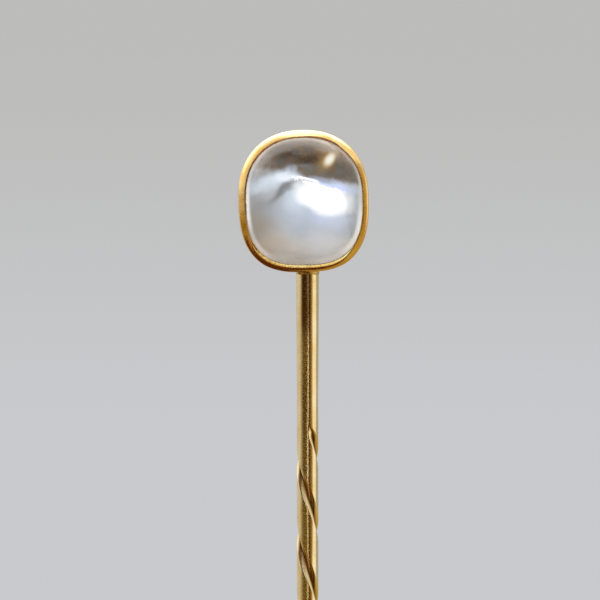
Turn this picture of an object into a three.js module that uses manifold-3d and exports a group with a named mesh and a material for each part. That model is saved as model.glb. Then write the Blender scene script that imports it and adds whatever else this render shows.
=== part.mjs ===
// A cabochon stick pin: a cushion-shaped moonstone held by the rubbed-over edge of a closed-back gold
// collet, on a round gold wire with a twisted grip and a long point. Millimetres, +Z up. The stone
// faces -Y. The origin is on the wire's axis, at the middle of the twisted grip that cloth holds.
import * as THREE from "three";
import { mergeVertices } from "three/addons/utils/BufferGeometryUtils.js";
import Module from "manifold-3d";

// Wire
const OVERALL_LENGTH = 64;
const WIRE_RADIUS = 0.6;
const PLAIN_NECK = 8.5; // plain wire between the head and the twist
const TWIST_LEAD = 8.15; // height of one whole turn
const TWIST_TURNS = 2;
const GROOVE_COUNT = 2;
const GROOVE_DEPTH = 0.2;
const GROOVE_HALF_ANGLE = THREE.MathUtils.degToRad(31); // half a groove's width, round the wire
const TWIST_START_ANGLE = THREE.MathUtils.degToRad(5); // where the first groove starts, from the front
const GROOVE_RUN_OUT = 0.9; // length over which a groove fades in and out
const TAPER_LENGTH = 21;
const POINT_LENGTH = 3.2;
const POINT_SHOULDER_RADIUS = 0.3;
const TIP_RADIUS = 0.03;

// Head from the front: two half superellipses that share one width
const HALF_WIDTH = 3.63;
const HEIGHT_UP = 3.8;
const HEIGHT_DOWN = 4.11;
const ROUNDNESS_UP = 2.26;
const ROUNDNESS_DOWN = 2.76;
const HEAD_SIDE_SHIFT = -0.24; // the wire is soldered a little to one side of the head's middle
const HEAD_LEAN = THREE.MathUtils.degToRad(-1.4);

// Head from front to back
const RIM_Y = -2.1;
const BACK_Y = 0.9;
const WALL_THICKNESS = 0.26;
const WALL_LEAN = 0.3; // how much narrower the head's half width is at the back
const LIP_DEPTH = 0.5; // how far behind the rim the wall starts to lean
const LIP_REACH = 0.37; // width of the rubbed-over edge
const PLATE_THICKNESS = 0.4;
const PLATE_EDGE_BREAK = 0.05;
const BEARING_THICKNESS = 0.32;
const BEARING_Y = RIM_Y + 1.05; // where the stone's base sits
const GIRDLE_Y = RIM_Y + 0.72; // where the stone is widest
const DOME_HEIGHT = 3;
const STONE_BEVEL = 0.22;
const SOLDER_SPREAD = 0.25;
const SOLDER_DROP = 0.28; // how far the solder creeps down the wire
const SOLDER_EDGE = 0.03;
const CLEARANCE = 0.02;

// Mesh fineness
const HEAD_SIDES = 64;
const DOME_STEPS = 14;
const LIP_STEPS = 7;
const WIRE_SIDES = 28;
const TAPER_STEPS = 6;
const TWIST_ROWS = 50;
const SOLDER_STEPS = 4;

const TWIST_LENGTH = TWIST_LEAD * TWIST_TURNS;
const TWIST_TOP_Z = TWIST_LENGTH / 2;
const HEAD_BOTTOM_Z = TWIST_TOP_Z + PLAIN_NECK;
const HEAD_Z = HEAD_BOTTOM_Z + HEIGHT_DOWN;
const TIP_Z = HEAD_Z + HEIGHT_UP - OVERALL_LENGTH;
const SEAM_Y = BACK_Y - PLATE_THICKNESS - CLEARANCE; // the wall's and the bearing's back edge
const GIRDLE_HALF_WIDTH = innerHalfWidth(GIRDLE_Y) - CLEARANCE;

const wasm = await Module();
wasm.setup();

const gold = { color: 0xd9a441, roughness: 0.22, metalness: 1 };
const wireGold = { color: 0xd6b46a, roughness: 0.15, metalness: 1 };
const solderGold = { color: 0xcfa040, roughness: 0.3, metalness: 1 };
const moonstone = { color: 0xccd2dc, roughness: 0.05, metalness: 0 };

function point(halfWidth, along) {
  return new THREE.Vector2(halfWidth, along);
}

// Half the collet's outside width at a depth: upright near the rim, then leaning in to the back.
function outerHalfWidth(y) {
  const leanStart = RIM_Y + LIP_DEPTH;
  return HALF_WIDTH - WALL_LEAN * THREE.MathUtils.clamp((y - leanStart) / (BACK_Y - leanStart), 0, 1);
}

function innerHalfWidth(y) {
  return outerHalfWidth(y) - WALL_THICKNESS;
}

// Half the stone's width at a depth in front of its girdle.
function domeHalfWidth(y) {
  const rise = (GIRDLE_Y - y) / DOME_HEIGHT;
  return GIRDLE_HALF_WIDTH * Math.sqrt(1 - rise * rise);
}

// Distance from the head's middle to its outline at an angle up from +X.
function outlineRadius(angle) {
  const up = Math.sin(angle) >= 0;
  const height = up ? HEIGHT_UP : HEIGHT_DOWN;
  const roundness = up ? ROUNDNESS_UP : ROUNDNESS_DOWN;
  const across = Math.abs(Math.cos(angle) / HALF_WIDTH) ** roundness;
  const along = Math.abs(Math.sin(angle) / height) ** roundness;
  return (across + along) ** (-1 / roundness);
}

// Turns a profile of (half width, depth) about Y, and pulls its rings from circles to the head's
// cushion outline. A profile's outside runs from front to back.
function cushionLathe(profile) {
  const geometry = new THREE.LatheGeometry(profile, HEAD_SIDES);
  const position = geometry.getAttribute("position");
  for (let i = 0; i < position.count; i++) {
    const x = position.getX(i);
    const z = position.getZ(i);
    const stretch = outlineRadius(Math.atan2(z, x)) / HALF_WIDTH;
    position.setXYZ(i, x * stretch, position.getY(i), z * stretch);
  }
  return geometry;
}

// A round piece that stands on the wire's axis, from a profile of (radius, height).
function uprightLathe(profile) {
  return new THREE.LatheGeometry(profile, WIRE_SIDES).rotateX(Math.PI / 2);
}

function toSolid(geometry) {
  const bare = geometry.clone();
  bare.deleteAttribute("normal");
  bare.deleteAttribute("uv");
  const merged = mergeVertices(bare);
  const mesh = new wasm.Mesh({
    numProp: 3,
    vertProperties: new Float32Array(merged.getAttribute("position").array),
    triVerts: new Uint32Array(merged.index.array),
  });
  return new wasm.Manifold(mesh);
}

function toGeometry(solid) {
  const { vertProperties, triVerts } = solid.getMesh();
  const geometry = new THREE.BufferGeometry();
  geometry.setAttribute("position", new THREE.BufferAttribute(vertProperties, 3));
  geometry.setIndex(new THREE.BufferAttribute(triVerts, 1));
  geometry.computeVertexNormals();
  return geometry;
}

function named(name, geometry, look) {
  const mesh = new THREE.Mesh(geometry, new THREE.MeshStandardMaterial(look));
  mesh.name = name;
  return mesh;
}

// Stone: a high dome, widest at the girdle, bevelled below it to a flat base.
function moonstoneCabochon() {
  const baseY = BEARING_Y - CLEARANCE;
  const profile = [point(0, GIRDLE_Y - DOME_HEIGHT)];
  for (let i = 1; i < DOME_STEPS; i++) {
    const angle = (i / DOME_STEPS) * (Math.PI / 2);
    profile.push(point(GIRDLE_HALF_WIDTH * Math.sin(angle), GIRDLE_Y - DOME_HEIGHT * Math.cos(angle)));
  }
  profile.push(point(GIRDLE_HALF_WIDTH, GIRDLE_Y));
  profile.push(point(GIRDLE_HALF_WIDTH - STONE_BEVEL, baseY));
  profile.push(point(0, baseY));
  return named("moonstone_cabochon", cushionLathe(profile), moonstone);
}

// Wall: a strip of gold round the stone, its front edge rubbed over the stone and rounded.
function colletWall() {
  const lipEdge = point(HALF_WIDTH - LIP_REACH, RIM_Y + 0.12);
  const lip = new THREE.CubicBezierCurve(
    lipEdge,
    point(lipEdge.x + 0.1, RIM_Y - 0.06),
    point(HALF_WIDTH - 0.02, RIM_Y - 0.05),
    point(HALF_WIDTH, RIM_Y + LIP_DEPTH),
  );
  const underLipY = lipEdge.y + 0.08;
  const profile = [
    ...lip.getPoints(LIP_STEPS),
    point(outerHalfWidth(SEAM_Y), SEAM_Y),
    point(innerHalfWidth(SEAM_Y), SEAM_Y),
    point(innerHalfWidth(GIRDLE_Y), GIRDLE_Y),
    point(domeHalfWidth(underLipY) + CLEARANCE, underLipY),
    lipEdge,
  ];
  return named("collet_wall", cushionLathe(profile), gold);
}

// Bearing: a ledge of thick strip inside the wall, for the stone to sit on.
function bearingRing() {
  const outside = (y) => innerHalfWidth(y) - CLEARANCE;
  const inside = outside(SEAM_Y) - BEARING_THICKNESS;
  const profile = [
    point(inside, BEARING_Y),
    point(outside(BEARING_Y), BEARING_Y),
    point(outside(SEAM_Y), SEAM_Y),
    point(inside, SEAM_Y),
    point(inside, BEARING_Y),
  ];
  return named("bearing_ring", cushionLathe(profile), gold);
}

// Closed back, flush with the wall's outside.
function backPlate() {
  const frontY = BACK_Y - PLATE_THICKNESS;
  const profile = [
    point(0, frontY),
    point(outerHalfWidth(frontY), frontY),
    point(outerHalfWidth(BACK_Y), BACK_Y - PLATE_EDGE_BREAK),
    point(outerHalfWidth(BACK_Y) - PLATE_EDGE_BREAK, BACK_Y),
    point(0, BACK_Y),
  ];
  return named("back_plate", cushionLathe(profile), gold);
}

function placeAsHead(object) {
  object.rotateY(HEAD_LEAN);
  return object;
}

function head() {
  const group = placeAsHead(new THREE.Group());
  group.position.set(HEAD_SIDE_SHIFT, 0, HEAD_Z);
  group.add(moonstoneCabochon(), colletWall(), bearingRing(), backPlate());
  return group;
}

// The collet's outside, filled in and grown by the clearance: the wire and its solder end on it.
function headEnvelope() {
  const grown = (y) => outerHalfWidth(y) + CLEARANCE;
  const leanStart = RIM_Y + LIP_DEPTH;
  const profile = [
    point(0, RIM_Y),
    point(grown(RIM_Y), RIM_Y),
    point(grown(leanStart), leanStart),
    point(grown(BACK_Y), BACK_Y + CLEARANCE),
    point(0, BACK_Y + CLEARANCE),
  ];
  return toSolid(placeAsHead(cushionLathe(profile)).translate(HEAD_SIDE_SHIFT, 0, HEAD_Z));
}

// Share of the groove's depth at an angle round the untwisted wire: a V at each groove.
function grooveShape(angle) {
  const spacing = (2 * Math.PI) / GROOVE_COUNT;
  const fromGroove = Math.abs(angle - Math.round(angle / spacing) * spacing);
  return Math.max(0, 1 - fromGroove / GROOVE_HALF_ANGLE);
}

function grooveFade(z) {
  return THREE.MathUtils.smoothstep(TWIST_TOP_Z - Math.abs(z), 0, GROOVE_RUN_OUT);
}

// Cuts straight grooves into the upright wire and twists it, so that they run down to the right
// across its front. Angles start at the front (-Y) and grow towards +X.
function grooveAndTwist(geometry) {
  const position = geometry.getAttribute("position");
  for (let i = 0; i < position.count; i++) {
    const z = position.getZ(i);
    const plainRadius = Math.hypot(position.getX(i), position.getY(i));
    if (plainRadius < WIRE_RADIUS / 2) continue;
    const angle = Math.atan2(position.getX(i), -position.getY(i));
    const radius = plainRadius - GROOVE_DEPTH * grooveFade(z) * grooveShape(angle);
    const below = THREE.MathUtils.clamp(TWIST_TOP_Z - z, 0, TWIST_LENGTH);
    const turned = angle + TWIST_START_ANGLE + (below / TWIST_LEAD) * 2 * Math.PI;
    position.setXYZ(i, radius * Math.sin(turned), -radius * Math.cos(turned), z);
  }
  return geometry;
}

// From the sharp tip up: the point, a long swelling taper, the twisted stretch and the plain neck.
function wireProfile() {
  const profile = [
    point(0, TIP_Z),
    point(TIP_RADIUS, TIP_Z + TIP_RADIUS / 2),
    point(POINT_SHOULDER_RADIUS * 0.6, TIP_Z + POINT_LENGTH / 2),
  ];
  for (let i = 0; i <= TAPER_STEPS; i++) {
    const share = i / TAPER_STEPS;
    const swelling = Math.sin((share * Math.PI) / 2);
    const radius = THREE.MathUtils.lerp(POINT_SHOULDER_RADIUS, WIRE_RADIUS, swelling);
    profile.push(point(radius, TIP_Z + THREE.MathUtils.lerp(POINT_LENGTH, TAPER_LENGTH, share)));
  }
  for (let i = 0; i <= TWIST_ROWS; i++) {
    profile.push(point(WIRE_RADIUS, (i / TWIST_ROWS) * TWIST_LENGTH - TWIST_TOP_Z));
  }
  profile.push(point(WIRE_RADIUS, HEAD_Z), point(0, HEAD_Z));
  return profile;
}

function stem(envelope) {
  const wire = toSolid(grooveAndTwist(uprightLathe(wireProfile())));
  return named("stem", toGeometry(wire.subtract(envelope)), wireGold);
}

// Solder: a small flared collar round the wire's top, where it meets the collet.
function stemSolder(envelope) {
  const inside = WIRE_RADIUS + CLEARANCE;
  const flareTopZ = HEAD_BOTTOM_Z + 0.2;
  const blankTopZ = HEAD_BOTTOM_Z + 0.5;
  const flare = new THREE.QuadraticBezierCurve(
    point(inside + SOLDER_EDGE, HEAD_BOTTOM_Z - SOLDER_DROP),
    point(inside + SOLDER_EDGE, HEAD_BOTTOM_Z),
    point(inside + SOLDER_SPREAD, flareTopZ),
  );
  const profile = [
    point(inside, HEAD_BOTTOM_Z - SOLDER_DROP),
    ...flare.getPoints(SOLDER_STEPS),
    point(inside + SOLDER_SPREAD, blankTopZ),
    point(inside, blankTopZ),
    point(inside, HEAD_BOTTOM_Z - SOLDER_DROP),
  ];
  const collar = toSolid(uprightLathe(profile));
  return named("stem_solder", toGeometry(collar.subtract(envelope)), solderGold);
}

const envelope = headEnvelope();
const pin = new THREE.Group();
pin.add(head(), stem(envelope), stemSolder(envelope));

export default pin;
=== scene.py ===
"""A gold stick pin with a moonstone cabochon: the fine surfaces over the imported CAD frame."""
import math

import bmesh
import bpy
from mathutils import Matrix, Quaternion, Vector, noise


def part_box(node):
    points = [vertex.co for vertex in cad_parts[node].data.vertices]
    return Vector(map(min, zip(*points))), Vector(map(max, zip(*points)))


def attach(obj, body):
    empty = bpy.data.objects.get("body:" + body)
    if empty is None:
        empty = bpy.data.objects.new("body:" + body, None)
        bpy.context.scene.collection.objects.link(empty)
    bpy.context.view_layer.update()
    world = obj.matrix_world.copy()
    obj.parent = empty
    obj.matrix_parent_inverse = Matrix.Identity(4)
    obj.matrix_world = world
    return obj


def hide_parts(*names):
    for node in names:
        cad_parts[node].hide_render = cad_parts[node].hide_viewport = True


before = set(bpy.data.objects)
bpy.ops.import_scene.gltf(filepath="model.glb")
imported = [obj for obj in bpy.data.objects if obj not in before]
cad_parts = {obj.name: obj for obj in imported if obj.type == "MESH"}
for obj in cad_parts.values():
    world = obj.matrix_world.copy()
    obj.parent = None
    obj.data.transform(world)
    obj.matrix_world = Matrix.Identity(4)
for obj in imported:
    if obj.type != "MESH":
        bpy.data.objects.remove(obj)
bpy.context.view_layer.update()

MM = 0.001

# The frame's own places, in metres
WALL_LOW, WALL_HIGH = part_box("collet_wall")
STONE_LOW, STONE_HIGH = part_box("moonstone_cabochon")
PLATE_LOW, PLATE_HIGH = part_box("back_plate")
BEARING_LOW, BEARING_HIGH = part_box("bearing_ring")
STEM_LOW, STEM_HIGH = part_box("stem")
HEAD_X = (WALL_LOW.x + WALL_HIGH.x) / 2
HALF_WIDTH = (WALL_HIGH.x - WALL_LOW.x) / 2
HEIGHT = WALL_HIGH.z - WALL_LOW.z
HEIGHT_UP = 0.48 * HEIGHT
HEIGHT_DOWN = 0.52 * HEIGHT
HEAD_Z = WALL_LOW.z + HEIGHT_DOWN
RIM_Y = WALL_LOW.y
BACK_Y = PLATE_HIGH.y
APEX_Y = STONE_LOW.y
STONE_BASE_Y = STONE_HIGH.y
SEAM_Y = WALL_HIGH.y
WIRE_RADIUS = STEM_HIGH.x
TIP_Z = STEM_LOW.z

# The head's outline and section
ROUNDNESS_UP = 2.26
ROUNDNESS_DOWN = 2.76
HEAD_LEAN = math.radians(-1.4)
PLATE_LEAN = 0.02 * MM
BACK_HALF_WIDTH = (PLATE_HIGH.x - PLATE_LOW.x) / 2 - PLATE_LEAN
BACK_EDGE_RADIUS = 0.12 * MM
LIP_DEPTH = 0.75 * MM
LIP_BITE = 0.03 * MM
WALL_THICKNESS = 0.26 * MM
BEARING_WIDTH = 0.32 * MM
GAP = 0.02 * MM
GIRDLE_Y = RIM_Y + 0.72 * MM
GIRDLE_HALF_WIDTH = (STONE_HIGH.x - STONE_LOW.x) / 2
STONE_BEVEL = 0.22 * MM
DOME_FULLNESS = 2.0

# The wire
TWIST_LEAD = 8.15 * MM
TWIST_TOP_Z = TWIST_LEAD
TWIST_START = math.radians(5)
GROOVE_DEPTH = 0.2 * MM
GROOVE_HALF_ANGLE = math.radians(31)
GROOVE_RUN_OUT = 0.9 * MM
NECK_SWELL = 0.035 * MM
TAPER_LENGTH = 21 * MM
POINT_LENGTH = 3.2 * MM
SHOULDER_RADIUS = 0.3 * MM
TIP_RADIUS = 0.02 * MM

# Mesh fineness
HEAD_SIDES = 256
WIRE_SIDES = 144


def smoothstep(low, high, value):
    share = min(max((value - low) / (high - low), 0.0), 1.0)
    return share * share * (3 - 2 * share)


def lerp(a, b, share):
    return a + (b - a) * share


def wobble(position, size, seed):
    """Smooth noise from -1 to 1 at a place, with features about size across. seed picks the pattern."""
    return noise.noise(Vector(position) / size + Vector((seed, seed * 1.7, -seed)))


# ---------------------------------------------------------------- mesh building

def loft(name, rings, closed=False):
    """A closed mesh through rings of points. closed joins the last ring to the first. Otherwise the
    first ring and the last are one point each, a pole."""
    bm = bmesh.new()
    rows = [[bm.verts.new(p) for p in ring] for ring in rings]
    pairs = list(zip(rows, rows[1:]))
    if closed:
        pairs.append((rows[-1], rows[0]))
    for low, high in pairs:
        count = max(len(low), len(high))
        for i in range(count):
            j = (i + 1) % count
            if len(low) == 1:
                bm.faces.new((low[0], high[j], high[i]))
            elif len(high) == 1:
                bm.faces.new((low[i], low[j], high[0]))
            else:
                bm.faces.new((low[i], low[j], high[j], high[i]))
    bmesh.ops.recalc_face_normals(bm, faces=bm.faces)
    mesh = bpy.data.meshes.new(name)
    bm.to_mesh(mesh)
    bm.free()
    mesh.shade_smooth()
    piece = bpy.data.objects.new(name, mesh)
    bpy.context.scene.collection.objects.link(piece)
    return piece


def paint(piece, name, values):
    """Stores one number per vertex, for the material to read."""
    layer = piece.data.attributes.new(name, "FLOAT", "POINT")
    layer.data.foreach_set("value", values)


def finish_piece(piece, node, material):
    """Gives a piece its material and puts it in the place of its CAD node."""
    piece.data.materials.append(material)
    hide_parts(node)
    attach(piece, "root")


# ---------------------------------------------------------------- the head

HEAD_PLACE = Matrix.Translation((HEAD_X, 0, HEAD_Z)) @ Matrix.Rotation(HEAD_LEAN, 4, "Y")
ELLIPSE_MIDDLE = (HEIGHT_UP - HEIGHT_DOWN) / 2


def outline_radius(angle, roundness=1.0):
    """Distance to the head's outline at an angle up from +X, over HALF_WIDTH. roundness 0 gives the
    ellipse of the same width and height instead."""
    up = math.sin(angle) >= 0
    power = lerp(2.0, ROUNDNESS_UP if up else ROUNDNESS_DOWN, roundness)
    reach = lerp(HEIGHT / 2, HEIGHT_UP if up else HEIGHT_DOWN, roundness)
    across = abs(math.cos(angle)) ** power
    along = abs(math.sin(angle) * HALF_WIDTH / reach) ** power
    return (across + along) ** (-1 / power)


def head_ring(half_width, y, roundness=1.0):
    """A ring of the head's outline. half_width and y are numbers, or functions of the angle."""
    middle = (1 - roundness) * ELLIPSE_MIDDLE
    ring = []
    for i in range(HEAD_SIDES):
        angle = 2 * math.pi * i / HEAD_SIDES
        width = half_width(angle) if callable(half_width) else half_width
        depth = y(angle) if callable(y) else y
        radius = outline_radius(angle, roundness) * width
        place = Vector((radius * math.cos(angle), depth, radius * math.sin(angle) + middle))
        ring.append(HEAD_PLACE @ place)
    return ring


def outer_half_width(y):
    """Half the head's width at a depth: the same as far back as the lip, then leaning in."""
    lean = min(max((y - RIM_Y - LIP_DEPTH) / (BACK_Y - RIM_Y - LIP_DEPTH), 0), 1)
    return lerp(HALF_WIDTH, BACK_HALF_WIDTH, lean)


def dome_curve(share):
    """The dome's height over its full height, at a share of its half width. It is its own inverse."""
    return max(0.0, 1 - share ** DOME_FULLNESS) ** (1 / DOME_FULLNESS)


def dome_half_width(y):
    """Half the stone's width where its dome is at a depth."""
    return GIRDLE_HALF_WIDTH * dome_curve((GIRDLE_Y - y) / (GIRDLE_Y - APEX_Y))


def dome_y(half_width):
    """The dome's depth where it has a half width."""
    return GIRDLE_Y - (GIRDLE_Y - APEX_Y) * dome_curve(half_width / GIRDLE_HALF_WIDTH)


def make_stone():
    """The cabochon: its rings grow from ellipses near the top into the head's cushion outline."""
    rings = [[HEAD_PLACE @ Vector((0, APEX_Y, ELLIPSE_MIDDLE))]]
    shares = [0.0]
    steps = 72
    for i in range(1, steps + 1):
        share = math.sin(i / steps * math.pi / 2)
        width = GIRDLE_HALF_WIDTH * share
        rings.append(head_ring(width, dome_y(width), roundness=min(1.0, share / 0.93) ** 3))
        shares.append(share)
    for drop, inset in ((0.3, 0.0), (0.45, 0.12), (0.72, 0.5), (1.0, 1.0)):
        depth = lerp(GIRDLE_Y, STONE_BASE_Y, drop)
        rings.append(head_ring(GIRDLE_HALF_WIDTH - inset * STONE_BEVEL, depth))
        shares.append(1.0)
    for inward in (0.9, 0.6, 0.3):
        rings.append(head_ring((GIRDLE_HALF_WIDTH - STONE_BEVEL) * inward, STONE_BASE_Y))
        shares.append(inward)
    rings.append([HEAD_PLACE @ Vector((0, STONE_BASE_Y, 0))])
    shares.append(0.0)
    piece = loft("moonstone", rings)
    paint(piece, "edge", [s for s, ring in zip(shares, rings) for _ in ring])
    return piece


def lip_reach(angle):
    """How far the rubbed-over edge covers the stone."""
    return (0.378 + 0.04 * math.cos(angle - math.radians(150))) * MM


def lip_strokes(angle):
    """How much the lip's inner edge wavers, as a burnisher leaves it."""
    around = Vector((math.cos(angle), math.sin(angle), 0))
    return (0.010 * wobble(around, 0.12, 3.0) + 0.008 * wobble(around, 0.03, 7.0)) * MM


def near(angle, middle, reach, soft):
    """1 within reach degrees of a middle angle, fading to 0 over soft degrees more."""
    away = abs((math.degrees(angle) - middle + 180) % 360 - 180)
    return 1 - smoothstep(reach, reach + soft, away)


# The lip's section from outside to inside: share of the way to the crest (above 1: past it), then the
# degrees by which it faces outwards there, where it is domed, where it was pressed flat as a bevel,
# and where its crest is broad
LIP_TILTS = (
    (0.0, 85, 85, 85), (0.03, 77, 72, 76), (0.08, 66, 52, 66), (0.15, 57, 36, 58), (0.25, 51, 28, 52),
    (0.38, 47, 25, 46), (0.52, 44, 24, 40), (0.66, 42, 23, 33), (0.78, 40, 22, 25), (0.88, 37, 21, 13),
    (0.95, 30, 18, 7), (1.0, 4, 6, 3), (1.25, -14, -8, 0), (1.55, -26, -14, -4), (1.8, -36, -20, -9),
    (2.0, -45, -25, -16),
)


def darker_stretch(angle):
    """1 along the top and the left, where the lip's inner edge and the stone's edge beside it are
    painted darker.
    """
    return near(angle, 110, 75, 45)


def lip_section(angle):
    """(distance in from the outline, y, darkening) across the lip at an angle, from inside to outside.
    """
    reach = lip_reach(angle)
    broad = near(angle, -98, 32, 26)
    crest = 0.955 - 0.36 * broad
    bevel = near(angle, -12, 38, 26)
    dark_share = darker_stretch(angle)
    dark_from = 0.87 - 0.16 * near(angle, 70, 8, 14)
    section = []
    depth, last, last_slope = 0.0, 0.0, 0.0
    for way, domed, bevelled, crested in LIP_TILTS:
        share = crest * min(way, 1) + (1 - crest) * max(way - 1, 0)
        tilt = lerp(lerp(domed, bevelled, bevel), crested, broad)
        slope = math.tan(math.radians(tilt))
        depth -= (slope + last_slope) / 2 * (share - last)
        inward = share * (reach + lip_strokes(angle))
        # Along that stretch the lip is painted darker towards its inner edge.
        darkening = dark_share * smoothstep(dark_from, dark_from + 0.1, share)
        section.append((inward, depth * reach, darkening))
        last, last_slope = share, slope
    rest = dome_y(HALF_WIDTH - reach) - section[-1][1] + LIP_BITE
    return [(inward, depth + rest, darkening) for inward, depth, darkening in section[::-1]]


def make_collet():
    """The wall: a closed section carried round the outline, its front edge rolled over the stone."""
    rings, grime_and_shade = [], []
    angles = [2 * math.pi * i / HEAD_SIDES for i in range(HEAD_SIDES)]
    sections = {angle: lip_section(angle) for angle in angles}

    def add(half_width, y, darkening):
        rings.append(head_ring(half_width, y))
        grime_and_shade.extend(darkening(angle) if callable(darkening) else darkening for angle in angles)

    def dents(angle, size):
        around = Vector((math.cos(angle), math.sin(angle), 0))
        return size * MM * (wobble(around, 0.2, 5.0) + 0.5 * wobble(around, 0.06, 9.0))

    for row in range(len(LIP_TILTS)):
        add(
            lambda a, k=row: HALF_WIDTH - sections[a][k][0] + dents(a, 0.006),
            lambda a, k=row: sections[a][k][1] + dents(a + 1, 0.005),
            lambda a, k=row: sections[a][k][2],
        )
    wall_rows = 8
    for i in range(1, wall_rows + 1):
        y = lerp(RIM_Y + LIP_DEPTH + 0.1 * MM, SEAM_Y, i / wall_rows)
        seam_dirt = 0.5 if i == wall_rows else 0.0
        add(lambda a, w=outer_half_width(y): w + dents(a + 2, 0.005), y, 0.1 + seam_dirt)
    add(outer_half_width(SEAM_Y) - WALL_THICKNESS, SEAM_Y, 1.0)
    add(outer_half_width(GIRDLE_Y) - WALL_THICKNESS, GIRDLE_Y, 1.0)
    under_y = RIM_Y + 0.22 * MM
    under = dome_half_width(under_y) + GAP
    add(under, under_y, lambda a: lerp(0.1, 1.0, darker_stretch(a)))
    piece = loft("collet", rings, closed=True)
    paint(piece, "grime_and_shade", grime_and_shade)
    return piece


def make_bearing():
    """The ledge inside the wall, its corners eased by filing."""
    outer_front = outer_half_width(BEARING_LOW.y) - WALL_THICKNESS - GAP
    outer_back = outer_half_width(BEARING_HIGH.y) - WALL_THICKNESS - GAP
    inner = outer_back - BEARING_WIDTH
    ease = 0.05 * MM
    front, back = BEARING_LOW.y, BEARING_HIGH.y
    section = (
        (outer_front, front), (inner + 3 * ease, front), (inner + ease, front + 0.4 * ease),
        (inner + 0.3 * ease, front + 1.2 * ease), (inner, front + 3 * ease), (inner, back),
        (outer_back, back),
    )
    piece = loft("bearing", [head_ring(w, y) for w, y in section], closed=True)
    paint(piece, "grime_and_shade", [0.6] * len(piece.data.vertices))
    return piece


def make_back():
    """The closed back: flat, with a softly rounded edge and a faint line of solder in the seam."""
    edge = BACK_HALF_WIDTH
    front = PLATE_LOW.y
    front_edge = outer_half_width(front)
    section = [(0.35 * edge, front, 0.5), (0.7 * edge, front, 0.5)]
    section.append((front_edge - 0.03 * MM, front, 1))
    section.append((front_edge, front + 0.03 * MM, 0.8))
    section.append((outer_half_width(front + 0.06 * MM), front + 0.07 * MM, 0.2))
    round_rows = 9
    for i in range(round_rows):
        angle = i / (round_rows - 1) * math.pi / 2
        inset = BACK_EDGE_RADIUS * (1 - math.cos(angle))
        short = BACK_EDGE_RADIUS * (1 - math.sin(angle))
        section.append((edge - inset, BACK_Y - short, 0.0))
    flat_shares = (0.93, 0.85, 0.7, 0.5, 0.3, 0.12)
    section += [(share * edge, BACK_Y, 0.0) for share in flat_shares]

    rings = [[HEAD_PLACE @ Vector((0, front, 0))]]
    rings += [head_ring(w, y) for w, y, _ in section]
    rings.append([HEAD_PLACE @ Vector((0, BACK_Y, 0))])
    for ring in rings[-len(flat_shares) - 2:]:
        for point in ring:
            point.y += min(0.0, 0.012 * MM * wobble(point, 1.6 * MM, 2.0))
    piece = loft("closed_back", rings)
    grime_and_shade = [0.5] + [g for _, _, g in section for _ in range(HEAD_SIDES)] + [0.0]
    paint(piece, "grime_and_shade", grime_and_shade)
    return piece


def underside_z(x, y):
    """Height of the collet's underside at a place on the floor plan."""
    shrink = outer_half_width(y) / HALF_WIDTH
    across = min(abs(x - HEAD_X) / (HALF_WIDTH * shrink), 1.0)
    drop = HEIGHT_DOWN * shrink * (1 - across ** ROUNDNESS_DOWN) ** (1 / ROUNDNESS_DOWN)
    return HEAD_Z - drop - math.tan(HEAD_LEAN) * (x - HEAD_X)


# ---------------------------------------------------------------- the wire

def wire_radius(z):
    """The wire's radius before its grooves: a point, a swelling taper, and a full round above."""
    above = z - TIP_Z
    if above < POINT_LENGTH:
        return lerp(TIP_RADIUS, SHOULDER_RADIUS, (above / POINT_LENGTH) ** 0.8)
    if above < TAPER_LENGTH:
        share = (above - POINT_LENGTH) / (TAPER_LENGTH - POINT_LENGTH)
        return lerp(SHOULDER_RADIUS, WIRE_RADIUS, math.sin(share * math.pi / 2))
    return WIRE_RADIUS + NECK_SWELL * smoothstep(TWIST_TOP_Z + 1 * MM, WALL_LOW.z, z)


def groove(angle, z):
    """Depth of the two grooves at an angle round the untwisted wire, with worn lips."""
    fade = smoothstep(0, GROOVE_RUN_OUT, TWIST_TOP_Z - abs(z))
    from_groove = abs(angle - round(angle / math.pi) * math.pi)
    share = max(0.0, 1 - from_groove / (GROOVE_HALF_ANGLE * lerp(0.4, 1.0, fade)))
    return GROOVE_DEPTH * fade * share ** 1.12


def twist_at(z):
    """How far the grooves have turned at a height."""
    below = min(max(TWIST_TOP_Z - z, 0), 2 * TWIST_TOP_Z)
    return TWIST_START + below / TWIST_LEAD * 2 * math.pi


def wire_heights():
    """Heights of the wire's rings: close together where the grooves run, wider on plain wire."""
    heights = []

    def span(low, high, step):
        count = max(1, round((high - low) / step))
        heights.extend(lerp(low, high, i / count) for i in range(count))

    tip_end = TIP_Z + 0.1 * MM
    shoulder_z = TIP_Z + POINT_LENGTH
    neck_end = WALL_LOW.z - 0.3 * MM
    span(TIP_Z, tip_end, 0.02 * MM)
    span(tip_end, shoulder_z, 0.2 * MM)
    span(shoulder_z, TIP_Z + TAPER_LENGTH, 0.5 * MM)
    span(TIP_Z + TAPER_LENGTH, -TWIST_TOP_Z, 0.5 * MM)
    span(-TWIST_TOP_Z, TWIST_TOP_Z, 0.05 * MM)
    span(TWIST_TOP_Z, neck_end, 0.3 * MM)
    heights.append(neck_end)
    return heights


def wire_ring(z):
    """The wire's section at a height, turned with the twist, slightly uneven."""
    ring = []
    for i in range(WIRE_SIDES):
        angle = 2 * math.pi * i / WIRE_SIDES
        turned = angle + twist_at(z)
        radius = wire_radius(z)
        flat = Vector((math.sin(turned), -math.cos(turned), z / (4 * MM)))
        radius *= 1 + 0.01 * wobble(flat, 0.6, 4.0)
        radius -= groove(angle, z) * (1 + 0.12 * wobble(flat, 0.7, 6.0))
        ring.append(Vector((radius * math.sin(turned), -radius * math.cos(turned), z)))
    return ring


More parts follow.
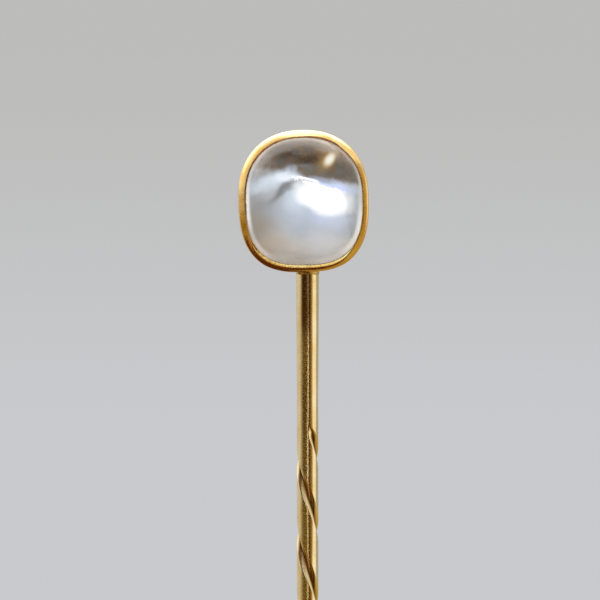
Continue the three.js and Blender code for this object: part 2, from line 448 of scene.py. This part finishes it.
def wire_grime_and_shade(point):
    """Dirt in the grooves, and painted shade down the front of the wire's top, where the head's shadow
    falls.
    """
    if abs(point.z) < TWIST_TOP_Z:
        hollow = wire_radius(point.z) - math.hypot(point.x, point.y)
        return min(1.0, max(0.0, hollow / GROOVE_DEPTH))
    turn = math.atan2(point.x, -point.y)
    # Painted shade: the front of the wire is darkened for its top few millimetres under the head.
    return 0.9 * smoothstep(11.8 * MM, 14.2 * MM, point.z) * near(turn, -9, 16, 16)


def make_wire():
    """The stem: one wire from its tip up to the collet's underside, where its top is cut to fit."""
    rings = [[Vector((0, 0, TIP_Z))]]
    rings += [wire_ring(z) for z in wire_heights()[1:]]
    neck = rings[-1]
    for lift in (-0.02 * MM, 0.02 * MM, 0.05 * MM):
        rings.append([Vector((p.x, p.y, underside_z(p.x, p.y) + lift)) for p in neck])
    middle = sum(rings[-1], Vector()) / len(neck)
    rings.append([middle])
    piece = loft("wire_stem", rings)
    paint(piece, "grime_and_shade", [wire_grime_and_shade(point) for ring in rings for point in ring])
    return piece


def make_solder():
    """A fillet of solder that creeps a little way down the wire and spreads under the collet."""
    steps = 12
    neck = WIRE_RADIUS + NECK_SWELL
    inner_rows = ((steps, 0.06 * MM), (steps + 1, -0.2 * MM))
    rings = [[] for _ in range(steps + len(inner_rows))]
    for i in range(WIRE_SIDES):
        angle = 2 * math.pi * i / WIRE_SIDES
        out = Vector((math.sin(angle), -math.cos(angle), 0))
        spread = 0.1 * MM * (1 + 0.35 * wobble(out, 0.8, 1.0))
        creep = 0.17 * MM * (1 + 0.4 * wobble(out, 0.5, 8.0))
        for step in range(steps):
            share = step / (steps - 1)
            skin = 0.03 * MM * min(1, 3 * share) - 0.012 * MM
            foot = out * (neck + skin + spread * share ** 4)
            top = underside_z(foot.x, foot.y) + 0.015 * MM
            rings[step].append(Vector((foot.x, foot.y, lerp(WALL_LOW.z - creep, top, share))))
        for row, lift in inner_rows:
            foot = out * (neck - 0.06 * MM)
            rings[row].append(Vector((foot.x, foot.y, underside_z(foot.x, foot.y) + lift)))
    piece = loft("solder_fillet", rings, closed=True)
    paint(piece, "grime_and_shade", [0.35] * len(piece.data.vertices))
    return piece


# ---------------------------------------------------------------- materials

class Nodes:
    """Short ways to add and join the shader nodes of one material or world."""

    def __init__(self, owner):
        owner.use_nodes = True
        self.tree = owner.node_tree
        self.tree.nodes.clear()

    def add(self, kind, **settings):
        made = self.tree.nodes.new("ShaderNode" + kind)
        for key, value in settings.items():
            setattr(made, key, value)
        return made

    def feed(self, socket, value):
        if isinstance(value, bpy.types.NodeSocket):
            self.tree.links.new(value, socket)
        elif isinstance(value, tuple) and len(value) == 3 and socket.type == "RGBA":
            socket.default_value = (*value, 1)
        else:
            socket.default_value = value

    def math(self, operation, a, b=0.0, c=0.0):
        made = self.add("Math", operation=operation)
        for socket, value in zip(made.inputs, (a, b, c)):
            self.feed(socket, value)
        return made.outputs[0]

    def both(self, a, b):
        """a * b, which is how two shares are combined and how a value is scaled."""
        return self.math("MULTIPLY", a, b)

    def ramp(self, value, low, high, to_low=0.0, to_high=1.0):
        """A smooth step between two values, from to_low to to_high. low may be the larger."""
        made = self.add("MapRange", interpolation_type="SMOOTHSTEP")
        for key, number in (
            ("Value", value), ("From Min", low), ("From Max", high),
            ("To Min", to_low), ("To Max", to_high),
        ):
            self.feed(made.inputs[key], number)
        return made.outputs[0]

    def mix(self, share, a, b):
        made = self.add("Mix", data_type="RGBA", blend_type="MIX")
        self.feed(made.inputs[0], share)
        self.feed(made.inputs[6], a)
        self.feed(made.inputs[7], b)
        return made.outputs[2]

    def scaled(self, vector, scale, offset=(0, 0, 0)):
        made = self.add("Mapping", vector_type="POINT")
        self.feed(made.inputs["Vector"], vector)
        made.inputs["Scale"].default_value = scale
        made.inputs["Location"].default_value = offset
        return made.outputs[0]

    def noise(self, vector, scale, detail, roughness=0.5):
        made = self.add("TexNoise")
        self.feed(made.inputs["Vector"], vector)
        for key, number in (("Scale", scale), ("Detail", detail), ("Roughness", roughness)):
            made.inputs[key].default_value = number
        return made.outputs["Fac"]

    def object_mm(self):
        return self.scaled(self.add("TexCoord").outputs["Object"], (1 / MM,) * 3)

    def attribute(self, name):
        return self.add("Attribute", attribute_name=name).outputs["Fac"]

    def bump(self, height, distance, normal=None):
        made = self.add("Bump")
        self.feed(made.inputs["Height"], height)
        made.inputs["Distance"].default_value = distance
        made.inputs["Strength"].default_value = 0.5
        if normal is not None:
            self.feed(made.inputs["Normal"], normal)
        return made.outputs[0]


def gold(name, deep, bright, tarnish_and_shade, rough, marks, grain, pitted):
    """Polished gold. marks is the stretch of its fine hand marks, where a small last value makes them
    run along Z. grain is the depth of its speckles, and pitted the roughness that its pits add."""
    material = bpy.data.materials.new(name)
    n = Nodes(material)
    place = n.object_mm()
    grime_and_shade = n.attribute("grime_and_shade")
    broad = n.noise(place, 0.9, 3)
    speckle = n.noise(place, 16, 2, 0.6)
    colour = n.mix(n.ramp(broad, 0.3, 0.7), deep, bright)
    colour = n.mix(n.ramp(speckle, 0.55, 0.8, 0.0, 0.35), colour, deep)
    # Darkens towards the given dark colour by the attribute on the mesh: dirt in hollows, and painted
    # shade on the front of the wire's neck.
    colour = n.mix(n.ramp(grime_and_shade, 0.1, 1.0, 0.0, 0.85), colour, tarnish_and_shade)
    hairlines = n.noise(n.scaled(place, marks), 9, 3, 0.6)
    pits = n.noise(place, 10.5, 3, 0.7)
    roughness = n.ramp(pits, 0.5, 0.66, rough, rough + pitted)
    roughness = n.math("ADD", roughness, n.ramp(hairlines, 0.5, 0.8, 0.0, 0.1))
    roughness = n.math("MULTIPLY_ADD", grime_and_shade, 0.04, roughness)
    shader = n.add("BsdfPrincipled")
    shader.inputs["Metallic"].default_value = 1.0
    n.feed(shader.inputs["Base Color"], colour)
    n.feed(shader.inputs["Roughness"], roughness)
    grained = n.bump(speckle, grain)
    n.feed(shader.inputs["Normal"], n.bump(hairlines, 0.003 * MM, grained))
    output = n.add("OutputMaterial")
    n.feed(output.inputs["Surface"], shader.outputs[0])
    return material


def setting_gold():
    """The collet's rich yellow gold, polished and pitted by wear."""
    return gold(
        "setting_gold", deep=(0.88, 0.56, 0.19), bright=(0.95, 0.69, 0.30), tarnish_and_shade=(0.20, 0.06, 0.015),
        rough=0.12, marks=(1, 1, 1), grain=0.008 * MM, pitted=0.2,
    )


def wire_gold():
    """The wire's paler gold, with fine drawing marks along it."""
    return gold(
        # This dark colour is also the painted shade on the front of the neck.
        "wire_gold", deep=(0.88, 0.68, 0.33), bright=(0.96, 0.80, 0.47), tarnish_and_shade=(0.22, 0.085, 0.02),
        rough=0.07, marks=(7, 7, 0.35), grain=0.006 * MM, pitted=0.22,
    )


def solder_gold():
    """Gold solder, a little duller and greyer."""
    return gold(
        "solder_gold", deep=(0.74, 0.58, 0.24), bright=(0.88, 0.72, 0.36), tarnish_and_shade=(0.3, 0.16, 0.04),
        rough=0.24, marks=(2, 2, 2), grain=0.003 * MM, pitted=0.1,
    )


# The moonstone's colours
MILK = (0.45, 0.49, 0.54)
BEIGE = (0.66, 0.60, 0.52)
# This colour and the next: painted shade, the collet's dark gold-lined inside seen through the clear top
SHADED_INSIDE = (0.125, 0.098, 0.07)
BROWN = (0.25, 0.17, 0.11)
VEIL = (0.36, 0.33, 0.30)
# This colour and the next: warm and cool patches in that painted shade
HONEY = (0.17, 0.095, 0.035)
SLATE = (0.13, 0.15, 0.18)
WHITE = (1.0, 1.0, 1.0)
# The pale ring inside the lip: painted light
RING_LIGHT = (0.60, 0.58, 0.55)
EDGE_DARK = (0.10, 0.035, 0.015)

# The moonstone's inner clouds, from deep to near: centre x and z and half sizes in mm from the head's
# middle, tilt in degrees, softness, strength, colour. Some are painted light and shade, as noted by them
CLOUDS = (
    # painted shade down the left side of the stone
    (-2.35, -0.6, 1.1, 1.3, 0, 0.8, 0.8, (0.33, 0.32, 0.31)),
    (-2.5, -1.9, 0.9, 0.9, 20, 0.9, 0.8, (0.37, 0.32, 0.25)),
    (-1.7, -2.6, 0.7, 0.5, 10, 0.9, 0.7, (0.50, 0.38, 0.25)),
    # This cloud and the next: the blue-white glow in the lower middle, painted sheen
    (0.3, -0.8, 1.9, 0.9, -8, 0.7, 0.6, (0.53, 0.60, 0.70)),
    (1.4, -1.0, 0.8, 0.55, 0, 0.8, 0.6, (0.58, 0.66, 0.86)),
    # The next five: darker and brown tones of the top, painted shade of the collet's dark inside seen
    # through the stone
    (-2.3, 2.0, 0.8, 0.9, 0, 0.6, 0.6, (0.30, 0.24, 0.19)),
    (-1.0, 2.5, 0.8, 0.45, 0, 0.5, 0.7, (0.14, 0.118, 0.095)),
    (0.1, 2.3, 1.6, 0.5, 4, 0.5, 0.95, (0.055, 0.028, 0.006)),
    (1.7, 1.45, 1.2, 0.36, -10, 0.5, 0.6, (0.11, 0.10, 0.09)),
    (1.9, 2.75, 0.9, 0.45, -35, 0.7, 0.7, (0.42, 0.32, 0.24)),
    (-0.85, 1.55, 0.34, 0.26, 25, 0.9, 0.7, (0.42, 0.45, 0.52)),
    # The next three: a pale bluish band on the left, a painted reflection of a soft light
    (-1.6, 0.98, 1.45, 0.3, 22, 0.8, 0.95, (0.60, 0.67, 0.76)),
    (-0.9, 1.13, 0.6, 0.24, 4, 0.7, 0.8, (0.80, 0.85, 0.92)),
    (-2.1, 0.55, 0.8, 0.24, 20, 0.7, 0.6, (0.60, 0.66, 0.72)),
    (-1.12, 0.4, 0.85, 0.23, 38, 0.6, 0.9, (0.20, 0.20, 0.21)),
    (-2.2, -0.4, 0.6, 0.3, 30, 0.8, 0.4, (0.30, 0.29, 0.29)),
    (-2.05, 0.25, 0.5, 0.3, 30, 0.8, 0.5, (0.48, 0.52, 0.57)),
    # blue haze under the billow's sharp edge, painted sheen
    (1.45, 0.72, 1.3, 0.3, -15, 0.5, 0.85, (0.58, 0.66, 0.90)),
    # a painted shadow down the right side, inside the pale ring
    (2.66, -1.1, 0.2, 1.1, 6, 0.6, 0.7, (0.33, 0.32, 0.32)),
    # The next five deepen and lift the painted shade of the top
    (0.75, 1.12, 1.0, 0.15, -13, 0.6, 0.65, (0.24, 0.24, 0.28)),
    (0.05, 1.52, 0.34, 0.24, 0, 0.7, 0.85, (0.14, 0.12, 0.10)),
    (-0.75, 2.0, 0.5, 0.22, 5, 0.8, 0.5, (0.24, 0.20, 0.17)),
    (-0.9, 3.0, 1.3, 0.34, 8, 0.7, 0.75, (0.12, 0.075, 0.035)),
    (0.4, 2.65, 0.65, 0.32, -10, 0.8, 0.7, (0.10, 0.05, 0.012)),
    # the warm halo round the glint, a painted reflection
    (1.15, 2.5, 0.5, 0.3, -30, 0.8, 0.6, (0.36, 0.23, 0.11)),
    # This cloud and the next: more of the blue-white glow, painted sheen
    (-0.3, -0.15, 0.65, 0.55, 0, 0.8, 0.6, (0.66, 0.74, 0.84)),
    (1.9, -1.3, 0.8, 0.5, 0, 0.8, 0.4, (0.64, 0.70, 0.82)),
    (1.0, -2.6, 1.1, 0.8, 0, 0.8, 0.65, (0.72, 0.72, 0.76)),
    (-1.2, -2.2, 0.9, 0.8, 0, 0.8, 0.4, (0.66, 0.64, 0.62)),
)

# Brighter and darker stretches of the pale ring inside the lip, painted light and shade, in the same
# form
RING_LIGHT_CLOUDS = (
    (-1.5, 3.0, 1.5, 1.0, 20, 0.5, 0.9, (0.30, 0.23, 0.17)),
    (0.0, 3.6, 2.6, 1.4, 0, 0.5, 1.0, (0.19, 0.145, 0.10)),
    (1.35, 3.2, 0.6, 0.6, 0, 0.8, 0.8, (0.42, 0.33, 0.27)),
    (-3.2, -0.6, 0.9, 1.1, 0, 0.6, 1.0, (1.0, 0.95, 0.88)),
    (2.75, -2.0, 1.2, 1.7, 25, 0.5, 1.0, (0.93, 0.90, 0.85)),
    (-0.3, -4.2, 2.6, 1.3, 0, 0.4, 1.0, (0.64, 0.57, 0.48)),
    (-2.5, -3.1, 0.8, 0.9, 0, 0.6, 0.8, (0.95, 0.86, 0.78)),
    (1.5, -3.6, 0.9, 0.7, 0, 0.6, 0.7, (0.86, 0.80, 0.76)),
)

# The small glint in the dark top, a painted reflection of the gold inside, in the same form: a warm
# halo, its bright heart, and a white core
PAINTED_GLINT = (
    (1.33, 2.05, 0.62, 0.34, 48, 0.9, 0.7, (0.42, 0.27, 0.09)),
    (1.43, 2.1, 0.35, 0.22, 54, 0.8, 0.9, (0.97, 0.74, 0.40)),
    (1.46, 2.13, 0.27, 0.17, 54, 0.8, 1.0, (1.0, 1.0, 0.93)),
)


class StoneNodes(Nodes):
    """The moonstone's nodes. Places are millimetres from the head's middle. Drifted places waver a
    little, which gives what is painted at them a natural edge."""

    def __init__(self, owner):
        super().__init__(owner)
        to_middle = (-HEAD_X / MM, 0, -HEAD_Z / MM)
        self.place = self.scaled(self.add("TexCoord").outputs["Object"], (1 / MM,) * 3, to_middle)
        parts = self.add("SeparateXYZ")
        self.feed(parts.inputs[0], self.place)
        x, z = parts.outputs[0], parts.outputs[2]
        self.still = (x, z)
        self.fine = self.noise(self.place, 2.6, 3, 0.6)
        self.crumbs = self.noise(self.place, 5.5, 3, 0.65)
        self.edge = self.attribute("edge")
        sideways = self.noise(self.scaled(self.place, (1, 1, 1), (7, 3, 5)), 0.9, 1)
        upwards = self.ramp(self.noise(self.place, 0.7, 2), 0.25, 0.75, -0.1, 0.1)
        upwards = self.math("ADD", upwards, self.ramp(self.fine, 0.3, 0.7, -0.018, 0.018))
        self.x = self.math("ADD", x, self.ramp(sideways, 0.3, 0.7, -0.1, 0.1))
        self.z = self.math("ADD", z, upwards)

    def weighted(self, a, by_a, b, by_b):
        """a * by_a + b * by_b"""
        return self.math("ADD", self.both(a, by_a), self.both(b, by_b))

    def tilted_z(self, slope):
        """Height above a line that falls to the right by a slope."""
        return self.math("MULTIPLY_ADD", self.x, slope, self.z)

    def cloud(self, cx, cz, width, height, tilt, soft, at=None):
        """A soft-edged oval, 1 inside and 0 outside."""
        x, z = at or (self.x, self.z)
        cos = math.cos(math.radians(tilt))
        sin = math.sin(math.radians(tilt))
        dx = self.math("SUBTRACT", x, cx)
        dz = self.math("SUBTRACT", z, cz)
        along = self.weighted(dx, cos / width, dz, sin / width)
        over = self.weighted(dz, cos / height, dx, -sin / height)
        far = self.math("SQRT", self.weighted(along, along, over, over))
        return self.ramp(far, 1 + soft, 1 - soft)

    def paint_clouds(self, colour, table, at=None):
        for cx, cz, width, height, tilt, soft, strength, tint in table:
            oval = self.cloud(cx, cz, width, height, tilt, soft, at)
            colour = self.mix(self.both(oval, strength), colour, tint)
        return colour


def stone_ground(n):
    """Milk in the middle, beige below, grey-brown and brown at the top, painted shade of the collet's
    dark inside seen through the stone, and faint veils all over.
    """
    colour = n.mix(n.ramp(n.z, -1.7, -2.8), MILK, BEIGE)
    colour = n.mix(n.ramp(n.tilted_z(0.18), 1.1, 1.5), colour, SHADED_INSIDE)
    colour = n.mix(n.ramp(n.z, 2.6, 3.1), colour, BROWN)
    veils = n.noise(n.scaled(n.place, (0.6, 1.0, 1.4), (3, 1, 8)), 1.6, 4, 0.6)
    return n.mix(n.ramp(veils, 0.35, 0.65, 0.25, 0.0), colour, VEIL)


def stone_mottle(n, colour):
    """Warm and cool patches in the painted shade of the top."""
    mottle = n.noise(n.scaled(n.place, (1.0, 1.0, 0.7), (2, 5, 1)), 2.4, 5, 0.6)
    shaded_top = n.ramp(n.tilted_z(0.18), 1.15, 1.5)
    warm = n.both(shaded_top, n.ramp(mottle, 0.48, 0.68, 0.0, 0.7))
    cool = n.both(shaded_top, n.ramp(mottle, 0.5, 0.28, 0.0, 0.3))
    return n.mix(cool, n.mix(warm, colour, HONEY), SLATE)


def stone_sheen_billow(n):
    """The share of the bright billow, painted sheen: an oval that a ragged line cuts off above."""
    raggedness = n.noise(n.scaled(n.place, (1, 1, 0.5)), 6, 2)
    ragged_z = n.math("MULTIPLY_ADD", raggedness, 0.3, n.tilted_z(0.25))
    oval = n.cloud(1.12, 0.0, 1.56, 0.86, -17, 0.3)
    return n.both(oval, n.ramp(ragged_z, 1.24, 1.14))


def stone_sparkle_highlights(n):
    """The share of the small white ticks along the billow's upper edge: painted highlights."""
    ticks = n.noise(n.scaled(n.place, (1, 1, 0.25)), 9, 2, 0.6)
    return n.both(n.cloud(-0.2, 1.03, 0.62, 0.1, -16, 0.5), n.ramp(ticks, 0.47, 0.53))


def stone_ring_light(n, colour):
    """The pale ring inside the lip, a painted reflection of the light at the dome's steep edge: narrower
    at the upper right and wider at the left.
    """
    where = n.math("MULTIPLY_ADD", n.cloud(2.8, 2.0, 1.3, 1.5, 0, 0.5), -0.03, n.edge)
    where = n.math("MULTIPLY_ADD", n.cloud(-3.2, -0.6, 1.0, 1.4, 0, 0.5), 0.02, where)
    ring = n.paint_clouds(RING_LIGHT, RING_LIGHT_CLOUDS)
    colour = n.mix(n.ramp(where, 0.895, 0.95, 0.0, 0.8), colour, ring)
    return n.mix(n.ramp(where, 0.95, 0.97), colour, ring)


def stone_dark_line(n, colour):
    """A crumbly dark line at the lip, over the top and the left."""
    line = n.ramp(n.math("MULTIPLY_ADD", n.crumbs, 0.05, n.edge), 0.972, 0.987)
    darkening = n.both(line, n.ramp(n.tilted_z(-0.6), -1.2, 1.6))
    return n.mix(n.both(darkening, 0.85), colour, EDGE_DARK)


def moonstone_material():
    """Translucent moonstone: a grey-brown top, partly clear and partly painted shade of the dark inside,
    a bright blue-white billow of painted sheen with a sharp upper edge, a painted glint and highlights,
    and a milky lower half."""
    material = bpy.data.materials.new("moonstone_polished")
    n = StoneNodes(material)
    # The colour holds painted light: the billow's sheen and blue glow, the glint, the white ticks, the
    # pale ring and the shade of the top.
    billow = stone_sheen_billow(n)
    colour = n.paint_clouds(stone_ground(n), CLOUDS)
    colour = n.mix(billow, stone_mottle(n, colour), WHITE)
    colour = n.paint_clouds(colour, PAINTED_GLINT, n.still)
    colour = n.mix(stone_sparkle_highlights(n), colour, WHITE)
    colour = stone_dark_line(n, stone_ring_light(n, colour))

    clear = n.both(n.ramp(n.z, 0.9, 1.9, 0.08, 0.35), n.math("SUBTRACT", 1.0, billow))
    clear = n.both(clear, n.ramp(n.edge, 0.93, 0.88))
    roughness = n.ramp(n.fine, 0.3, 0.7, 0.02, 0.05)
    roughness = n.math("ADD", roughness, n.ramp(n.edge, 0.93, 0.97, 0.0, 0.3))
    shader = n.add("BsdfPrincipled")
    shader.inputs["IOR"].default_value = 1.52
    shader.inputs["Specular IOR Level"].default_value = 0.15
    shader.inputs["Subsurface Weight"].default_value = 0.3
    shader.inputs["Subsurface Radius"].default_value = (1.0, 1.0, 1.0)
    shader.inputs["Subsurface Scale"].default_value = 0.35 * MM
    n.feed(shader.inputs["Base Color"], colour)
    n.feed(shader.inputs["Transmission Weight"], clear)
    n.feed(shader.inputs["Roughness"], roughness)
    n.feed(shader.inputs["Normal"], n.bump(n.crumbs, 0.0012 * MM))
    output = n.add("OutputMaterial")
    n.feed(output.inputs["Surface"], shader.outputs[0])
    return material


# ---------------------------------------------------------------- studio

BACKDROP_LOW = (0.585, 0.59, 0.61)
BACKDROP_HIGH = (0.505, 0.505, 0.495)


class StudioNodes(Nodes):
    """The studio's nodes. turn is the direction's angle in degrees from the front, growing to the
    right, away is the same without its sign, and x, y and z are the direction's own parts."""

    def __init__(self, owner):
        super().__init__(owner)
        parts = self.add("SeparateXYZ")
        self.feed(parts.inputs[0], self.add("TexCoord").outputs["Generated"])
        self.x, self.y, self.z = parts.outputs
        turn = self.math("ARCTAN2", self.x, self.both(self.y, -1.0))
        self.turn = self.both(turn, 180 / math.pi)
        self.away = self.math("ABSOLUTE", self.turn)


def level_light(n):
    """What the gold sees level with it: a dim warm front, bright sides and a grey back."""
    light = n.mix(n.ramp(n.turn, 12, 40), (0.038, 0.012, 0.002), (0.22, 0.125, 0.035))
    light = n.mix(n.ramp(n.turn, 40, 49), light, (0.50, 0.36, 0.10))
    light = n.mix(n.ramp(n.turn, 50, 62), light, (1.0, 0.98, 0.96))
    light = n.mix(n.ramp(n.turn, -42, -98), light, (0.7, 0.68, 0.66))
    sides = n.mix(n.ramp(n.turn, -1, 1), (0.66, 0.64, 0.62), (0.42, 0.42, 0.42))
    light = n.mix(n.ramp(n.away, 94, 104), light, sides)
    return n.mix(n.ramp(n.away, 130, 165), light, (0.5, 0.5, 0.5))


def left_light(n, light):
    """The left: darker in two steps below the horizon, bright above it, with a copper patch low down."""
    low = n.both(n.ramp(n.turn, -132, -112), n.ramp(n.turn, 10, -20))
    light = n.mix(n.both(n.ramp(n.z, -0.01, -0.09), low), light, (0.40, 0.29, 0.06))
    light = n.mix(n.both(n.ramp(n.z, -0.1, -0.3), low), light, (0.10, 0.045, 0.003))
    high = n.both(n.ramp(n.z, 0.02, 0.12), n.ramp(n.turn, -60, -105))
    light = n.mix(high, light, (1.1, 1.08, 1.0))
    copper = n.both(n.ramp(n.turn, -76, -60), n.ramp(n.turn, -40, -54))
    copper = n.both(copper, n.both(n.ramp(n.z, -0.54, -0.36), n.ramp(n.z, -0.08, -0.24)))
    return n.mix(copper, light, (0.62, 0.29, 0.12))


def right_light(n, light):
    """The right: warm below the horizon, and above it bright with a greyer band."""
    low = n.both(n.ramp(n.z, -0.08, -0.24), n.ramp(n.turn, 22, 42))
    light = n.mix(low, light, (0.53, 0.40, 0.13))
    bright = (1.35, 1.33, 1.28)
    band = n.mix(n.ramp(n.z, 0.14, 0.26), bright, (0.7, 0.68, 0.62))
    band = n.mix(n.ramp(n.z, 0.4, 0.54), band, bright)
    high = n.both(n.ramp(n.turn, 35, 60), n.ramp(n.turn, 140, 125))
    return n.mix(n.both(n.ramp(n.z, 0.1, 0.24), high), light, band)


def high_light(n, light):
    """Overhead: bright, but dim and warm in front, and brightest towards the back."""
    forward = n.both(n.ramp(n.y, -0.05, -0.5), n.ramp(n.x, 0.1, -0.3))
    ceiling = n.mix(forward, (1.05, 1.03, 0.98), (0.34, 0.21, 0.08))
    light = n.mix(n.ramp(n.z, 0.24, 0.6), light, ceiling)
    back = n.ramp(n.away, 88, 108)
    lift = n.math("MULTIPLY_ADD", n.x, -0.25, n.z)
    light = n.mix(n.both(back, n.ramp(lift, 0.25, 0.36)), light, (1.15, 1.13, 1.08))
    light = n.mix(n.both(back, n.ramp(lift, 0.52, 0.64)), light, (4.0, 4.0, 4.0))
    return n.mix(n.ramp(n.z, 0.95, 0.99), light, (2.8, 2.8, 2.8))


def front_light(n, light):
    """Straight below, and two small reflectors in front: a thin level strip and a patch over it."""
    below = n.mix(n.ramp(n.turn, 15, 60), (0.10, 0.03, 0.008), (0.45, 0.33, 0.10))
    light = n.mix(n.ramp(n.z, -0.45, -0.75), light, below)
    strip = n.both(n.ramp(n.turn, 0.5, 2.5), n.ramp(n.turn, 8, 5))
    strip = n.both(strip, n.both(n.ramp(n.z, -0.2, -0.08), n.ramp(n.z, 0.2, 0.08)))
    light = n.mix(strip, light, (1.5, 1.2, 0.75))
    patch = n.both(n.ramp(n.away, 14, 9), n.ramp(n.z, 0.02, 0.08))
    return n.mix(n.both(patch, n.ramp(n.z, 0.38, 0.28)), light, (1.1, 1.32, 1.35))


def make_world():
    """A soft studio: the camera sees a plain pale backdrop, glossy rays see the bright and dim
    stretches that the gold reflects, and all other rays see an even pale room."""
    world = bpy.data.worlds.new("studio")
    bpy.context.scene.world = world
    n = StudioNodes(world)
    light = left_light(n, level_light(n))
    light = front_light(n, high_light(n, right_light(n, light)))
    room = n.mix(n.ramp(n.z, -0.6, 0.6), (0.80, 0.79, 0.78), (1.0, 1.0, 1.0))
    backdrop = n.mix(n.ramp(n.z, -0.018, 0.03), BACKDROP_LOW, BACKDROP_HIGH)
    rays = n.add("LightPath")
    base = n.add("Background")
    n.feed(base.inputs["Color"], room)
    shader = base.outputs[0]
    for seen, chooser in ((light, "Is Glossy Ray"), (backdrop, "Is Camera Ray")):
        layer = n.add("Background")
        n.feed(layer.inputs["Color"], seen)
        chosen = n.add("MixShader")
        n.feed(chosen.inputs[0], rays.outputs[chooser])
        n.feed(chosen.inputs[1], shader)
        n.feed(chosen.inputs[2], layer.outputs[0])
        shader = chosen.outputs[0]
    output = n.add("OutputWorld")
    n.feed(output.inputs["Surface"], shader)


def make_floor():
    """A plain pale disc under the point that fades out towards its edge."""
    radius = 0.36
    fade_from, fade_to = 0.35 * radius, 0.98 * radius
    bm = bmesh.new()
    bmesh.ops.create_circle(bm, cap_ends=True, cap_tris=True, segments=96, radius=radius)
    mesh = bpy.data.meshes.new("floor")
    bm.to_mesh(mesh)
    bm.free()
    floor = bpy.data.objects.new("floor", mesh)
    floor.location.z = TIP_Z - 0.2 * MM
    bpy.context.scene.collection.objects.link(floor)
    floor.visible_glossy = False
    material = bpy.data.materials.new("pale_floor")
    n = Nodes(material)
    reach = n.add("VectorMath", operation="LENGTH")
    n.feed(reach.inputs[0], n.add("TexCoord").outputs["Object"])
    diffuse = n.add("BsdfDiffuse")
    n.feed(diffuse.inputs["Color"], (0.72, 0.72, 0.73))
    clear = n.add("BsdfTransparent")
    chosen = n.add("MixShader")
    n.feed(chosen.inputs[0], n.ramp(reach.outputs["Value"], fade_from, fade_to))
    n.feed(chosen.inputs[1], diffuse.outputs[0])
    n.feed(chosen.inputs[2], clear.outputs[0])
    output = n.add("OutputMaterial")
    n.feed(output.inputs["Surface"], chosen.outputs[0])
    mesh.materials.append(material)


def make_lamp(name, turn, height, distance, width, depth, radiance, roll, lit):
    """A soft lamp that faces the head, from a turn (degrees to the right of the front) and a height
    angle, rolled about its own axis. It lights one piece only."""
    around, up = math.radians(turn), math.radians(height)
    level = math.cos(up)
    way = Vector((math.sin(around) * level, -math.cos(around) * level, math.sin(up)))
    data = bpy.data.lights.new(name, "AREA")
    data.shape = "RECTANGLE"
    data.size = width
    data.size_y = depth
    data.energy = radiance * math.pi * width * depth
    lamp = bpy.data.objects.new(name, data)
    lamp.location = Vector((HEAD_X, 0, HEAD_Z)) + way * distance
    rolled = way.to_track_quat("Z", "Y") @ Quaternion((0, 0, 1), math.radians(roll))
    lamp.rotation_euler = rolled.to_euler()
    bpy.context.scene.collection.objects.link(lamp)
    receivers = bpy.data.collections.new(name + "_lit")
    receivers.objects.link(lit)
    lamp.light_linking.receiver_collection = receivers


def set_colours():
    """Colours come out as they are, so that bright gold and the stone's billow reach white."""
    bpy.context.scene.view_settings.view_transform = "Standard"


def make_camera():
    """Level with the middle of the visible part, facing the stone, with a long lens."""
    distance = 0.50
    field_width = 33.5 * MM
    left_of_wire = 0.425 * MM
    below_head = 5.665 * MM
    data = bpy.data.cameras.new("camera")
    data.sensor_width = 36
    data.lens = data.sensor_width * distance / field_width
    camera = bpy.data.objects.new("camera", data)
    camera.location = (-left_of_wire, -distance, HEAD_Z - below_head)
    camera.rotation_euler = (math.pi / 2, 0, 0)
    bpy.context.scene.collection.objects.link(camera)
    bpy.context.scene.camera = camera


def main():
    setting = setting_gold()
    stone = make_stone()
    finish_piece(stone, "moonstone_cabochon", moonstone_material())
    finish_piece(make_collet(), "collet_wall", setting)
    finish_piece(make_bearing(), "bearing_ring", setting)
    finish_piece(make_back(), "back_plate", setting)
    finish_piece(make_wire(), "stem", wire_gold())
    finish_piece(make_solder(), "stem_solder", solder_gold())
    make_world()
    make_floor()
    make_lamp(
        "top_strip", turn=8, height=33, distance=0.25, width=0.16, depth=0.012, radiance=47, roll=-14,
        lit=stone,
    )
    make_camera()
    set_colours()


main()
